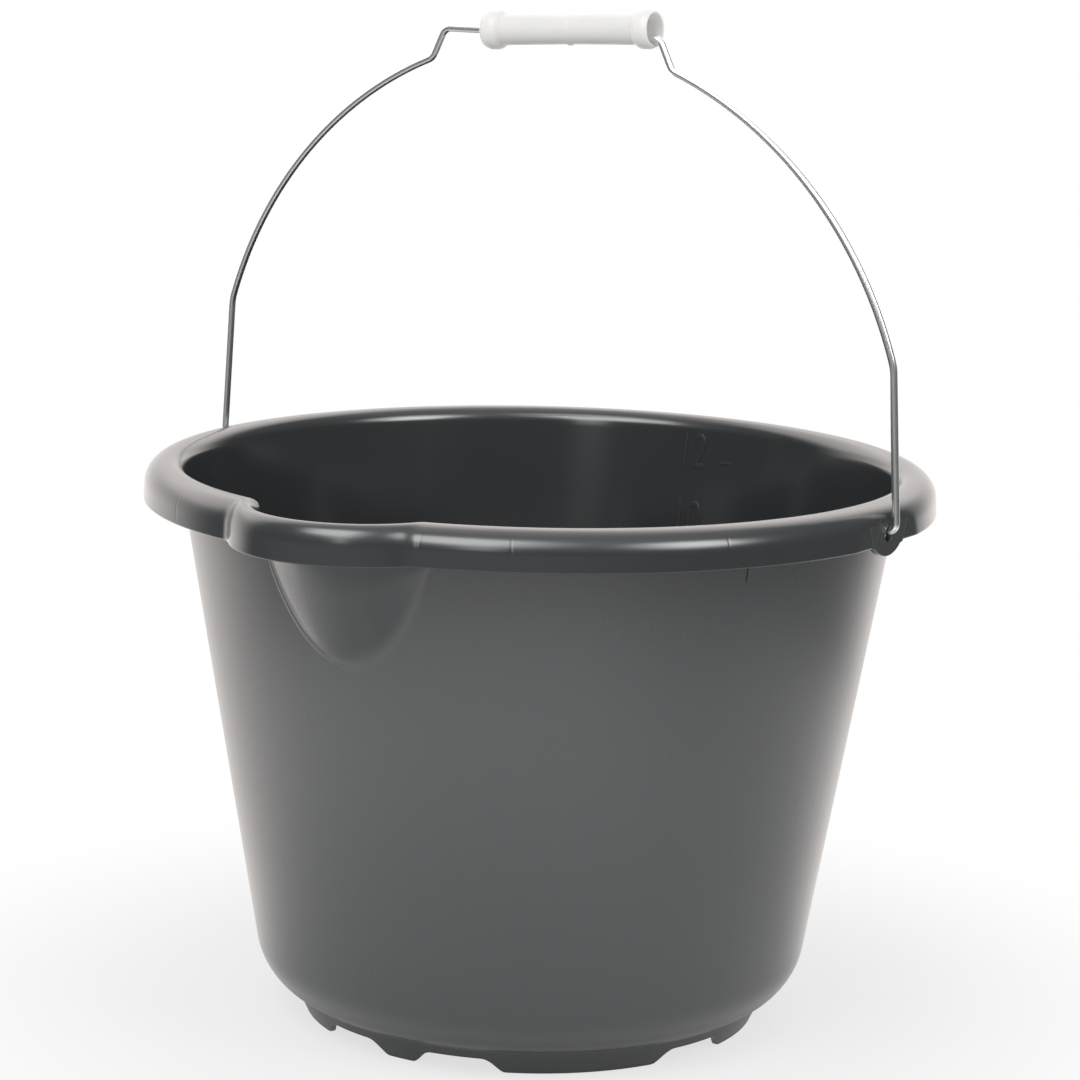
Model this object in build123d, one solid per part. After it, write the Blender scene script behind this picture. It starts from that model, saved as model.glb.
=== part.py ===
"""A builder's bucket: a moulded body with a pouring lip, a swinging wire bail and a loose hand grip.

The origin is on the bucket's axis, on the ground under the foot ring. +Z is up, the two ears are on
the X axis and the pouring lip points along -Y. All sizes are in millimetres.
"""
import os
from math import atan, cos, degrees, radians, sin, sqrt

from build123d import *

# Wall and floor: a plain cone that rounds into a flat floor
wall = 2.2                   # thickness of the wall, the rim and its skirt
wall_slope = 0.1694          # outward run of the cone for each mm of height
wall_ground_radius = 115.3   # outside of the cone, carried down to the ground
corner_radius = 29.5         # outside, from the wall into the floor
floor_underside = 7.6        # height of the floor over the ground
floor_thickness = 2.6

# Rim: a hollow rounded lip that turns down into a skirt
height = 243.4
rim_radius = 171.0           # outside of the skirt, at its lower edge
skirt_edge = 227.1           # height of that edge
skirt_draft = 0.3            # how much the skirt closes in towards its top
shoulder_radius = 10.0       # outer rounding of the rim
lip_radius = 7.0             # inner rounding of the rim

# Pouring lip: a round trough in the wall, with the rim carried around it
spout_centre = 135.5         # from the bucket's axis to the axis of the rim's curve there
spout_rim_radius = 52.3      # outside of the skirt around the lip
spout_slope = 0.467          # outward run of the trough for each mm of height
spout_depth = 88.0           # height over which the trough is carried down into the wall

# Foot ring, with six notches that leave six teeth
ring_bottom_radius = 99.3    # outside, on the ground
ring_top_radius = 104.8      # outside, where it meets the wall
ring_top = 12.0
ring_thickness = 2.8
notch_depth = 6.3
notch_half_angle = 11.4      # at the ground, in degrees
notch_roof_half_angle = 7.6
notch_round = 2.5
notch_angles = [-15.4, 15.3, 76.4]   # from -Y towards +X, and again half a turn on

# Ears: a flat on the rim at each side, with a round tab and the hole for the wire
ear_face = 169.0             # from the bucket's axis to the flat
ear_thickness = 2.6
ear_half_width = 25.5
ear_hole_height = 231.3
ear_hole_diameter = 6.4
ear_tab_radius = 9.4
ear_tab_blend = 4.0

# Webs under the skirt, on both sides of each ear
web_angle = 24.0             # from the ear, in degrees
web_thickness = 1.6
web_drop = 8.0               # how far the web runs down the wall below the skirt

# Bail: round wire, drawn in the XZ plane as (x, z)
wire_diameter = 3.2
pivot_height = 232.6
leg_foot_x = 172.5           # the leg at the height of the pivot
leg_top = (168.3, 299.8)     # where the leg meets the big bow
bow_middle = (129.5, 367.0)
bow_end = (60.0, 413.9)
crank_top = (53.8, 426.8)    # the short crank lifts the straight top that carries the grip
ear_bend = 3.6               # bending radii, on the centre line
leg_bend = 14.0
crank_lower_bend = 6.0
crank_upper_bend = 4.5
hook_x = 158.6               # the wire's end, turned up inside the hollow rim
hook_top = 238.0
hook_bend = 3.0

# Hand grip: a tube with a collar at each end, lying askew on the wire
grip_length = 83.0
grip_centre_x = 10.0
grip_lift = 2.1              # from the wire's centre line to the grip's, at the middle
grip_tilt = 2.6              # degrees, rising towards +X
grip_middle_radius = 6.2
grip_end_radius = 6.5
collar_radius = 8.3
collar_length = 9.5
collar_round = 3.0
seam_radius = 6.8
seam_width = 1.4
bore_middle_radius = 4.7
bore_end_radius = 5.3        # where the funnel starts
funnel_start = 31.0          # from the middle of the grip
funnel_radius = 6.1
funnel_break = 34.5
mouth_radius = 6.7
mouth_round = 1.0
gate_diameter = 2.4
gate_height = 0.5

# Values that follow from these
lean = atan(wall_slope)
lip_height = height - lip_radius
lip_centre = wall_ground_radius + wall_slope * lip_height + (lip_radius - wall) / cos(lean)
spout_lip_centre = lip_centre - (rim_radius - spout_rim_radius)

# Allowances for the model itself
clear = 5.0                  # overrun of a cutting body past the material
bite = 0.4                   # how far joined regions of one moulding reach into each other
tiny = 0.01                  # closeness at which a corner counts as found


def turned(outline, centre_y=0.0):
    """A closed outline, drawn as (radius, height), turned about a vertical axis."""
    return Pos(0, centre_y, 0) * revolve(Plane.XZ * make_face(outline), Axis.Z)


def rim_outline(radius, inset, bottom):
    """Filled half section of the rim's outside, or of the hollow under it when inset by the wall."""
    shoulder = radius - skirt_draft - shoulder_radius
    level = height - shoulder_radius
    reach = shoulder_radius - inset
    rounding = CenterArc((shoulder, level), reach, 0, 90)
    sides = Polyline(
        (shoulder, level + reach),
        (0, level + reach),
        (0, bottom),
        (radius - inset, bottom),
        (shoulder + reach, level),
    )
    return [*rounding.edges(), *sides.edges()]


def vessel_outline(inset, floor, lip, top):
    """Filled half section of the cone: floor, rounded corner, wall, and the rounding at the rim."""
    ground = wall_ground_radius - inset / cos(lean)
    corner = corner_radius - inset
    corner_height = floor + corner
    corner_centre = ground + wall_slope * corner_height - corner / cos(lean)
    tilt = degrees(lean)
    turn = CenterArc((corner_centre, corner_height), corner, -90, 90 - tilt)
    rounding = CenterArc((lip_centre, lip_height), lip, 90, 90 - tilt)
    side = Line(turn @ 1, rounding @ 1)
    rest = Polyline(
        rounding @ 0,
        (lip_centre, top),
        (0, top),
        (0, floor),
        turn @ 0,
    )
    return [*turn.edges(), *side.edges(), *rounding.edges(), *rest.edges()]


def trough(lip, top):
    """Filled pouring lip: a slanting round trough under a rounded mouth."""
    radius = spout_lip_centre - lip
    rounding = CenterArc((spout_lip_centre, lip_height), lip, 90, 90)
    rest = Polyline(
        rounding @ 0,
        (spout_lip_centre, top),
        (0, top),
        (0, lip_height),
        rounding @ 1,
    )
    mouth = turned([*rounding.edges(), *rest.edges()], -spout_centre)
    slant = Vector(0, spout_slope, -1)
    section = Pos(0, -spout_centre, lip_height) * Circle(radius)
    return mouth + extrude(section, spout_depth * slant.length, dir=slant.normalized())


def web(angle):
    """Thin upright web between the wall and the skirt, at an angle from +X."""
    reach = rim_radius - wall + bite
    level = height - shoulder_radius
    roof = height - wall + bite
    outline = Polyline(
        (lip_centre - 2 * lip_radius, roof),
        (rim_radius - shoulder_radius, roof),
        (reach, level),
        (reach, skirt_edge),
        (wall_ground_radius + wall_slope * (skirt_edge - web_drop) - wall / 2, skirt_edge - web_drop),
        close=True,
    )
    sheet = extrude(Plane.XZ * make_face(outline.edges()), web_thickness / 2, both=True)
    return Rot(0, 0, angle) * sheet


def notch(angle):
    """Cutting body for one notch: a trapezoid with rounded corners, through the foot ring."""
    foot = ring_bottom_radius * sin(radians(notch_half_angle))
    roof = ring_bottom_radius * sin(radians(notch_roof_half_angle))
    run_out = (foot - roof) / notch_depth * clear
    outline = Polyline(
        (-foot - run_out, -clear),
        (foot + run_out, -clear),
        (roof, notch_depth),
        (-roof, notch_depth),
        close=True,
    )
    face = make_face(outline.edges())
    face = fillet(face.vertices().sort_by(Axis.Y)[-2:], notch_round)
    cutter = extrude(Plane.XZ.offset(ring_bottom_radius / 2) * face, ring_bottom_radius)
    return Rot(0, 0, angle) * cutter


def ear_plate(side):
    """Flat plate of one ear at x = side * ear_face, with its round tab below the skirt."""
    plate_height = height - wall - skirt_edge
    panel = Pos(0, skirt_edge + plate_height / 2) * Rectangle(2 * ear_half_width, plate_height)
    tab = Pos(0, ear_hole_height) * Circle(ear_tab_radius)
    face = panel + tab
    tab_half_width = sqrt(ear_tab_radius**2 - (ear_hole_height - skirt_edge) ** 2)
    level = [v for v in face.vertices() if abs(v.Y - skirt_edge) < tiny]
    joins = [v for v in level if abs(abs(v.X) - tab_half_width) < tiny]
    face = fillet(joins, ear_tab_blend)
    plate = extrude(Plane.YZ.offset(ear_face - ear_thickness) * face, ear_thickness)
    return plate if side > 0 else Rot(0, 0, 180) * plate


def build_bucket_body():
    """One moulding: rim and skirt, wall and floor, pouring lip, ears, webs and foot ring."""
    spout_y = -spout_centre
    rim_solid = turned(rim_outline(rim_radius, 0, skirt_edge))
    rim_solid += turned(rim_outline(spout_rim_radius, 0, skirt_edge), spout_y)
    hollow = turned(rim_outline(rim_radius, wall, skirt_edge - clear))
    hollow += turned(rim_outline(spout_rim_radius, wall, skirt_edge - clear), spout_y)
    outside = turned(vessel_outline(0, floor_underside, lip_radius - wall, height))
    outside += trough(lip_radius - wall, height)
    inside = turned(vessel_outline(wall, floor_underside + floor_thickness, lip_radius, height + clear))
    inside += trough(lip_radius, height + clear)

    rim = rim_solid - hollow
    for side in (1, -1):
        plate = ear_plate(side)
        above = Pos(0, 0, skirt_edge + height) * Box(3 * rim_radius, 3 * rim_radius, 2 * height)
        rim += (plate & rim_solid) + (plate - above)
        beyond = Pos(side * (ear_face + rim_radius), 0, height) * Box(2 * rim_radius, 2 * rim_radius, height)
        rim -= beyond
        hole = Pos(side * ear_face, 0, ear_hole_height) * Rot(0, 90, 0)
        rim -= hole * Cylinder(ear_hole_diameter / 2, 4 * ear_thickness)

    ring_line = Polyline(
        (ring_bottom_radius - ring_thickness, 0),
        (ring_bottom_radius, 0),
        (ring_top_radius, ring_top),
        (ring_top_radius - ring_thickness, ring_top - bite),
        close=True,
    )
    ring = turned(ring_line.edges())
    for half_turn in (0, 180):
        for angle in notch_angles:
            ring -= notch(angle + half_turn)

    body = rim + outside
    for ear_angle in (0, 180):
        for offset in (-web_angle, web_angle):
            body += web(ear_angle + offset)
    return body + ring - inside


def bail_path():
    """Centre line of the whole wire, from one turned-up end over the top to the other."""
    half = [
        Line((0, crank_top[1]), crank_top),
        Line(crank_top, bow_end),
        ThreePointArc(bow_end, bow_middle, leg_top),
        Line(leg_top, (leg_foot_x, pivot_height)),
        Line((leg_foot_x, pivot_height), (hook_x, pivot_height)),
        Line((hook_x, pivot_height), (hook_x, hook_top)),
    ]
    wire = Wire(half)
    corners = [
        (crank_top, crank_upper_bend),
        (bow_end, crank_lower_bend),
        (leg_top, leg_bend),
        ((leg_foot_x, pivot_height), ear_bend),
        ((hook_x, pivot_height), hook_bend),
    ]
    for point, radius in corners:
        corner = wire.vertices().sort_by_distance((*point, 0))[0]
        wire = wire.fillet_2d(radius, [corner])
    mirrored = wire.mirror(Plane.YZ)
    return Wire([*mirrored.edges(), *wire.edges()])


def build_wire_bail():
    """Round wire along its centre line, stood up in the plane of the ears."""
    path = Plane.XZ * bail_path()
    section = Plane(origin=path @ 0, z_dir=path % 0) * Circle(wire_diameter / 2)
    return sweep(section, path)


def grip_half_outline():
    """Half section of the grip from its middle to one end, as (distance along the axis, radius)."""
    half = grip_length / 2
    neck = half - collar_length
    outline = Polyline(
        (0, bore_middle_radius),
        (funnel_start, bore_end_radius),
        (funnel_break, funnel_radius),
        (half, mouth_radius),
        (half, collar_radius),
        (neck, collar_radius),
        (neck - (collar_radius - grip_end_radius), grip_end_radius),
        (seam_width / 2, grip_middle_radius),
        (seam_width / 2, seam_radius),
        (0, seam_radius),
        close=True,
    )
    face = make_face(outline.edges())
    rim_corners = face.vertices().filter_by(lambda v: abs(v.Y - collar_radius) < tiny)
    outer = rim_corners.sort_by(Axis.X)[-1:]
    face = fillet(outer, mouth_round)
    inner = [v for v in face.vertices() if abs(v.X - neck) < tiny]
    return fillet(inner, collar_round)


def build_hand_grip():
    """Moulded tube: tapered bore, two collars, a seam ring at the middle and the gate's stub under it."""
    half = revolve(grip_half_outline(), Axis.X)
    tube = half + Rot(0, 180, 0) * half
    gate = Pos(0, 0, -seam_radius) * Cylinder(gate_diameter / 2, 2 * gate_height)
    tube += gate
    return Pos(grip_centre_x, 0, crank_top[1] + grip_lift) * Rot(0, -grip_tilt, 0) * tube


os.makedirs("parts", exist_ok=True)
pieces = {
    "bucket_body": build_bucket_body(),
    "wire_bail": build_wire_bail(),
    "hand_grip": build_hand_grip(),
}
for name, piece in pieces.items():
    export_step(piece, f"parts/{name}.step")
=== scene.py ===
"""A builder's bucket dressed for the camera: a graphite moulding, a zinc wire bail and a white hand grip.

Sizes are in millimetres and angles in degrees unless a comment says otherwise. The frame is the CAD model's:
origin on the axis at the ground, +Z up, the ears on the X axis and the pouring lip towards -Y.
"""
from math import atan, cos, degrees, pi, radians, sin, sqrt

import bmesh
import bpy
import numpy as np
from mathutils import Matrix, Vector


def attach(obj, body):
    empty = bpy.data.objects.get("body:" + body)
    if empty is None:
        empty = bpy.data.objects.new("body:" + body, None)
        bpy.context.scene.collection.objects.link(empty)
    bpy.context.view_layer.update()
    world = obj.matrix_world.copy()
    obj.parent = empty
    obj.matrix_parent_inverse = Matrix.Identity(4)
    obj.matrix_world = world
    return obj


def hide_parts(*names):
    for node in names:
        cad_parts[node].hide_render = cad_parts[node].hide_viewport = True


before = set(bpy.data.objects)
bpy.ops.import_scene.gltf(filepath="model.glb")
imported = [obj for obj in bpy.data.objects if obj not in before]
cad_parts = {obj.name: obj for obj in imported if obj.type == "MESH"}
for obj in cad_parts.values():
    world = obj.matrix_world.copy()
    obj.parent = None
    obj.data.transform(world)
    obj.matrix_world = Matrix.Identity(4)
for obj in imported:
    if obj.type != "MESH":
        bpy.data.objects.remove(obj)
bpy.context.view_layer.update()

# Bucket body
# One shot of graphite polypropylene: floor, wall, pouring lip, rolled rim with its skirt, the two ears
# that hold the wire and the notched foot ring leave the mould together, with a satin skin.
wall = 2.2
wall_slope = 0.1694          # outward run of the cone for each mm of height
wall_ground_radius = 115.3   # outside of the cone, carried down to the ground
corner_radius = 29.5         # outside, from the wall into the floor
floor_underside = 7.6
floor_thickness = 2.6
bucket_height = 243.4
rim_radius = 171.0           # outside of the skirt, at its lower edge
skirt_edge = 227.1           # height of that edge
skirt_draft = 0.3
edge_round = 0.6             # rounding of the skirt's lower edge
shoulder_radius = 10.0       # outer rounding of the rim
lip_radius = 7.0             # inner rounding of the rim
spout_turn = 0.4             # the lip stands a touch off the middle between the ears
spout_centre = 133.4         # from the bucket's axis to the axis of the pouring lip, at the skirt
spout_rim_radius = 54.3
spout_centre_gain = 0.131    # that axis moves out so far for each mm in from the skirt's face,
spout_radius_loss = 0.7125   # and the lip's radius shrinks by so much
rim_fillet = 3.3             # reach of the fillet where the rim meets the pouring lip
rim_fillet_loss = 0.9        # share of that reach that is gone at the lip's inside
trough_centre = 113.2        # from the bucket's axis to the axis of the trough, at the lip's height
trough_radius = 55.8
trough_slope = 0.413         # outward run of that axis for each mm of height
trough_turn = 0.7            # how far the trough's middle stands from the lip's
trough_flare = 222.0         # height above which the trough opens into the lip
trough_foot = 172.0          # height below which the wall is a plain cone
trough_fillet = 0.5          # reach of the fillet where it leaves the wall, crisp on one side of the mould
trough_soft_fillet = 1.2     # and softer on the other
trough_tip = 8.0             # degrees across its tip, over which the one side becomes the other
crease_roll = 1.2            # how much fuller the trough is beside its crisp crease
ledge_offset = 1.6           # a low ledge runs beside the crisp crease, so far outside it
ledge_height = 0.3
ledge_gap = 1.0              # its top stays so far below the skirt's edge,
ledge_fade = 4.0             # and it reaches its full height so far below that
ring_bottom_radius = 99.3    # foot ring, outside, on the ground
ring_slope = 0.4583
ring_thickness = 2.8
ring_edge = 0.5
notch_depth = 6.3
notch_foot = 19.6            # half width of a notch on the ground
notch_roof = 13.1
notch_foot_round = 1.2
notch_roof_round = 2.4
notch_turns = [-15.4, 15.3, 76.4, 164.6, -164.7, -103.6]   # from the pouring lip towards +X
ear_face = 169.0             # from the bucket's axis to the flat of an ear
ear_thickness = 2.6
ear_hole_height = 231.3
ear_hole_radius = 3.2
ear_hole_edge = 0.25
ear_tab_radius = 7.6
ear_tab_blend = 3.0
ear_window = 2.0             # half width, in degrees, of the patch of surface around a hole
ear_blend = 0.2              # rounding where an ear's flat cuts the rim
plate_face = 169.25          # from the bucket's axis to the face of the plate on an ear
plate_back = 166.3
plate_top = 236.2            # heights of its corners and of the lowest point of its bowed edge
plate_foot = 226.6
plate_bottom = 222.3
plate_half_top = 16.5        # half widths at its corners and where the bow starts
plate_half_foot = 12.9
plate_half_bow = 10.8
plate_bow = 16.5             # radius of the bowed edge
plate_bends = [0.6, 1.2]     # rounding of its corners, from the top down
plate_bore_gap = 0.05        # its hole is so much wider than the ear's
plate_bevel = 0.12
web_turns = [66.0, 114.0, -66.0, -114.0]
web_thickness = 2.3
web_rib = 0.45               # how far the visible rib of a web stands off the wall
web_foot = 216.7
web_rib_top = 226.0
web_skirt_foot = 229.5
weld_turns = [58.5, 28.9, 16.7, -28.5]   # where two streams of plastic met in the rim and left a fine line
weld_half_width = (0.1, 0.9)   # of its bottom and of its whole
weld_depth = 0.08
weld_start = 2.0             # it fades in so far around the skirt's edge
flow_waves = 90              # per metre, of the faint flow marks,
flow_stretch = 0.12          # which run up the wall,
flow_height = 0.006          # and stand so high
cloud_waves = 14             # per metre, of the faint clouds in the plastic
graphite_dark = (0.0335, 0.0365, 0.0385)
graphite_light = (0.0385, 0.0415, 0.0435)
satin_roughness = 0.25       # of the outside
flow_roughness = 0.02        # how much duller the flow marks and the clouds are
cloud_roughness = 0.03
polish_gain = 0.115          # how much smoother the polished inside is
top_polish = 0.2             # share of that polish on top of the rim, and on its skirt
skirt_polish = 0.6
graphite_gloss = 0.9         # specular level

lean = atan(wall_slope)
lip_height = bucket_height - lip_radius
lip_inward = rim_radius - wall_ground_radius - wall_slope * lip_height - (lip_radius - wall) / cos(lean)
shoulder_height = bucket_height - shoulder_radius
shoulder_inward = skirt_draft + shoulder_radius
lip_inside = lip_inward + lip_radius * cos(lean)


def crowded_turn(count, places):
    """Angles of one full turn, in radians, closer together near some places given as (angle, reach, gain).

    The crowding is 1 plus gain * exp(-(distance / reach)^4) for each place, and the angles lie where its
    running sum reaches equal steps."""
    fine = np.radians(np.linspace(-180, 180, 7201))
    crowding = np.ones_like(fine)
    for angle, reach, gain in places:
        away = (fine - radians(angle) + pi) % (2 * pi) - pi
        crowding += gain * np.exp(-((away / radians(reach)) ** 4))
    total = np.concatenate([[0], np.cumsum((crowding[1:] + crowding[:-1]) / 2)])
    return np.interp(np.arange(count) / count * total[-1], total, fine)


def blended_max(a, b, reach):
    """The larger of two lengths with a rounded change-over.

    max(a, b) + reach / 4 * (1 - |a - b| / reach)^2 where the two are nearer than the reach."""
    near = np.clip(1 - np.abs(a - b) / reach, 0, 1)
    return np.maximum(a, b) + reach / 4 * near**2


def blended_min(a, b, reach):
    """The smaller of two lengths with the same rounding."""
    return -blended_max(-a, -b, reach)


def column(*values):
    """Numbers down a column, to be spread over all angles of the turn."""
    return np.concatenate([np.atleast_1d(v) for v in values]).astype(float)[:, None]


def arc_angles(start, end, count):
    """Angles in radians from start to end, in degrees, down a column."""
    return np.radians(np.linspace(start, end, count))[:, None]


turn_points = 512
lip_crowd = (0, 23, 1.1)
ear_crowds = [(90, 7, 2.6), (-90, 7, 2.6)]
notch_crowds = [(place, 13, 0.5) for place in notch_turns]
turn = crowded_turn(turn_points, [lip_crowd] + ear_crowds + notch_crowds)
ear_slant = np.maximum(np.abs(np.sin(turn)), 0.1)
soft_side = np.clip(0.5 + np.degrees(turn) / trough_tip, 0, 1)   # 0 on the crisp side, 1 on the soft one


def lip_reach(centre, radius, middle=spout_turn):
    """Distance from the bucket's axis to a circle that stands ahead of it, along each angle of the turn.

    centre * cos(a) + sqrt(radius^2 - (centre * sin(a))^2) at the angle a from the circle's middle, and
    0 where the ray misses the circle."""
    from_lip = turn - np.radians(middle)
    inside = radius**2 - (centre * np.sin(from_lip)) ** 2
    hit = (inside > 0) & (np.cos(from_lip) > 0)
    return np.where(hit, centre * np.cos(from_lip) + np.sqrt(np.maximum(inside, 0)), 0)


def rim_lines(inward, level):
    """Lines round the rim, some way in from the skirt's face: the blended outer of two circles.

    The rim is narrower round the pouring lip, so the lip's circle shrinks more slowly than the bucket's,
    and the fillet between the two tightens inwards."""
    lip = lip_reach(spout_centre + spout_centre_gain * inward, spout_rim_radius - spout_radius_loss * inward)
    out = blended_max(rim_radius - inward, lip, rim_fillet * (1 - rim_fillet_loss * inward / lip_inside))
    return out, level + 0 * out


def trough_lead(inset, level):
    """Radius of the cone at some heights, and how far the slanting trough stands out beyond it.

    The trough is a circle whose axis runs in by trough_slope * drop below the lip. Above the flare, it opens
    into the lip's circle with the square of the height. Beside its crisp crease it is fuller, by
    crease_roll * (1 - exp(-lead / crease_roll))."""
    cone = wall_ground_radius + wall_slope * level - inset / cos(lean)
    flare = np.clip((level - trough_flare) / (lip_height - trough_flare), 0, 1) ** 2
    centre = trough_centre - trough_slope * (lip_height - level)
    centre = centre + flare * (spout_centre + spout_centre_gain * lip_inside - centre)
    lip_wall = spout_rim_radius - spout_radius_loss * lip_inside + wall
    radius = trough_radius + flare * (lip_wall - trough_radius) - inset
    lead = lip_reach(centre, radius, spout_turn + trough_turn * (1 - flare)) - cone
    roll = crease_roll * (1 - soft_side) * (1 - flare)
    return cone, lead + roll * (1 - np.exp(-np.maximum(lead, 0) / crease_roll))


def wall_lines(inset, level, ledge=0.0):
    """Lines round the wall at some heights: the cone, and the trough or the ledge where they stand out."""
    cone, lead = trough_lead(inset, level)
    out = cone + blended_max(ledge, lead, trough_fillet + soft_side * (trough_soft_fillet - trough_fillet))
    return out, level + 0 * out


def trough_lines(inset, top, ledge):
    """Lines round the upper wall, from the top down to the trough's foot.

    Along each angle they close in on the crease where the trough leaves the wall. Below it they keep their
    distance across the crease, drop * sqrt(1 + slope^2), so the ledge's edge is a line of the grid."""
    levels = np.linspace(trough_foot, skirt_edge - 0.2, 300)
    lead = trough_lead(inset, levels[:, None])[1]
    crease = np.array([np.interp(0, line, levels) for line in lead.T])
    slope = np.gradient(crease, turn) / (wall_ground_radius + wall_slope * crease)
    above_share = column(1, 0.8, 0.62, 0.46, 0.33, 0.22, 0.14, 0.08, 0.04, 0.015)
    above = crease + (top - crease) * above_share
    ledge_share = column(0, 0.5, 0.85, 1, 1.15, 1.3, 1.8)   # across the ledge, whose edge is at 1.15
    below = crease - np.sqrt(1 + slope**2) * (ledge_share * ledge_offset)
    rest = below[-1] + (trough_foot - below[-1]) * column(np.linspace(0, 1, 14)[1:])
    rise = ledge * np.clip((skirt_edge - ledge_gap - crease) / ledge_fade, 0, 1) * (1 - soft_side)
    steps = column([1] * (len(above) + 4), 0.5, [0] * (2 + len(rest)))
    return wall_lines(inset, np.vstack([above, below, rest]), rise * steps)


def corner_lines(inset, floor, angles):
    """Lines round the arc between wall and floor: centre + radius * (cos, sin) of each angle."""
    radius = corner_radius - inset
    level = floor + radius
    centre = wall_ground_radius + wall_slope * level - (inset + radius) / cos(lean)
    out = centre + radius * np.cos(angles) + 0 * turn
    return out, level + radius * np.sin(angles) + 0 * turn


def floor_lines(radii, level):
    """Circles on a flat floor."""
    return radii + 0 * turn, level + 0 * radii + 0 * turn


def ear_flat(lines, face):
    """The same lines cut off by the flats of the two ears: out no further than face / |sin(turn)|."""
    out, up = lines
    return blended_min(out, face / ear_slant, ear_blend), up


def ring_corner(ground_radius):
    """(radius, height) where a face of the foot ring meets the corner's arc.

    It solves (ground_radius + ring_slope * z - centre)^2 + (z - level)^2 = corner_radius^2 for the
    lower z."""
    level = floor_underside + corner_radius
    reach = ground_radius - wall_ground_radius - wall_slope * level + corner_radius / cos(lean)
    a = 1 + ring_slope**2
    b = ring_slope * reach - level
    z = (-b - sqrt(b**2 - a * (reach**2 + level**2 - corner_radius**2))) / a
    return ground_radius + ring_slope * z, z


tilt = degrees(lean)
trough_top_inside = lip_height - 1       # its lines end below the lip's arc,
trough_top_outside = skirt_edge + 0.4    # and behind the skirt
floor_top = floor_underside + floor_thickness
corner_top_inside = floor_top + (corner_radius - wall) * (1 - sin(lean))
corner_top_outside = floor_underside + corner_radius * (1 - sin(lean))
floor_reach = wall_ground_radius + wall_slope * (floor_underside + corner_radius) - corner_radius / cos(lean)

across = np.abs(ear_face / ear_slant * np.cos(turn))
tab_bottom = ear_hole_height - np.sqrt(np.maximum(ear_tab_radius**2 - across**2, 0))
tab_bottom = np.where(across < ear_tab_radius, tab_bottom, ear_hole_height)
edge = blended_min(skirt_edge, tab_bottom, ear_tab_blend)
outer_edge = ear_flat(rim_lines(column(0), column(0)), ear_face)[0]
inner_edge = ear_flat(rim_lines(column(wall), column(0)), ear_face - ear_thickness)[0]

notch = 0 * turn
for place in notch_turns:
    away = np.abs((turn - radians(place) + pi) % (2 * pi) - pi) * ring_bottom_radius
    side = notch_depth * (notch_foot - away) / (notch_foot - notch_roof)
    rounded_side = blended_min(notch_depth, blended_max(0, side, notch_foot_round), notch_roof_round)
    notch = np.maximum(notch, rounded_side)
ring_out = ring_bottom_radius + ring_slope * notch
ring_in = ring_out - ring_thickness
crease_height = ring_corner(ring_bottom_radius)[1]
groove_radius, groove_height = ring_corner(ring_bottom_radius - ring_thickness)
crease_angle = -degrees(np.arcsin((floor_underside + corner_radius - crease_height) / corner_radius))
groove_angle = -degrees(np.arcsin((floor_underside + corner_radius - groove_height) / corner_radius))

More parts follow.
